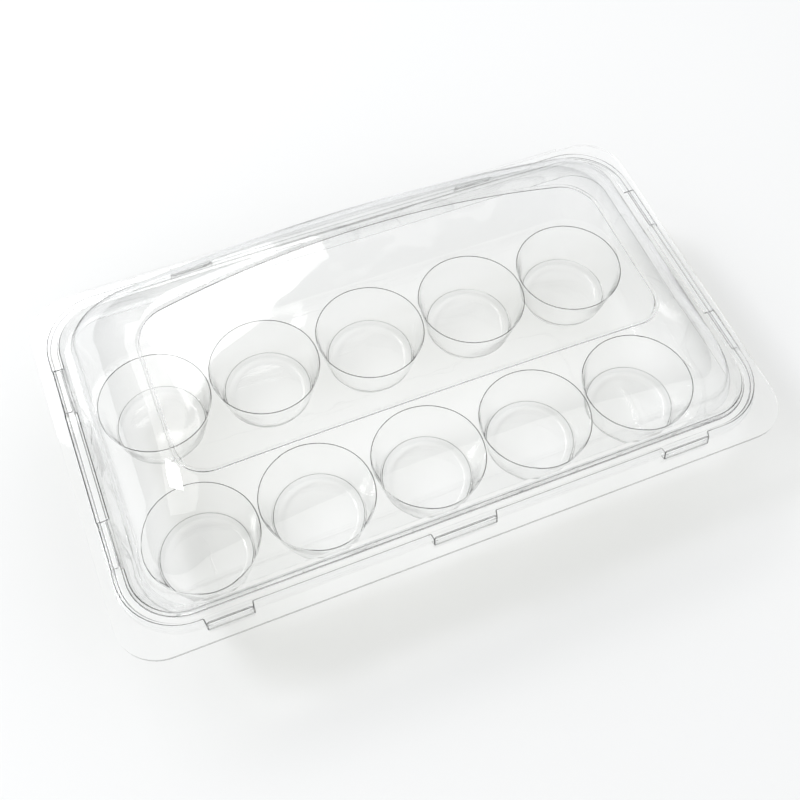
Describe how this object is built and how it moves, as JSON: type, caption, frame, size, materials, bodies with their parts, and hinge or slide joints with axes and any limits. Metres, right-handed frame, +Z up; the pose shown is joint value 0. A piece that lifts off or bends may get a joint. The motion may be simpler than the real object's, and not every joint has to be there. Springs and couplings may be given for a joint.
{
  "type": "egg holder tray",
  "caption": "Clear formed-sheet egg box with two rows of round cups and a domed lid on a living hinge.",
  "frame": {"origin": "on the table, under the middle of the closed box's bounding box", "axes": "+X along the rows of cups, +Y towards the hinge, +Z up"},
  "size_m": [0.269, 0.164, 0.0872],
  "materials": {
    "tray_sheet": "clear, glossy",
    "lid_sheet": "clear, glossy"
  },
  "bodies": {
    "tray": {"cup_front_1": "tray_sheet", "cup_front_2": "tray_sheet", "cup_front_3": "tray_sheet", "cup_front_4": "tray_sheet", "cup_front_5": "tray_sheet", "cup_back_1": "tray_sheet", "cup_back_2": "tray_sheet", "cup_back_3": "tray_sheet", "cup_back_4": "tray_sheet", "cup_back_5": "tray_sheet", "tray_deck": "tray_sheet", "tray_wall": "tray_sheet", "tray_bead": "tray_sheet", "tray_flange": "tray_sheet", "living_hinge": "tray_sheet"},
    "lid": {"lid_flange": "lid_sheet", "lid_bead": "lid_sheet", "lid_gutter": "lid_sheet", "lid_dome": "lid_sheet", "lid_panel": "lid_sheet", "lid_front_lugs": "lid_sheet", "lid_back_lugs": "lid_sheet", "lid_left_lugs": "lid_sheet", "lid_right_lugs": "lid_sheet"}
  },
  "joints": [
    {"name": "lid_hinge", "type": "hinge", "parent": "tray", "child": "lid", "pos_m": [0, 0.0815, 0.044], "axis": [-1, 0, 0], "range_deg": [0, 180]}
  ]
}
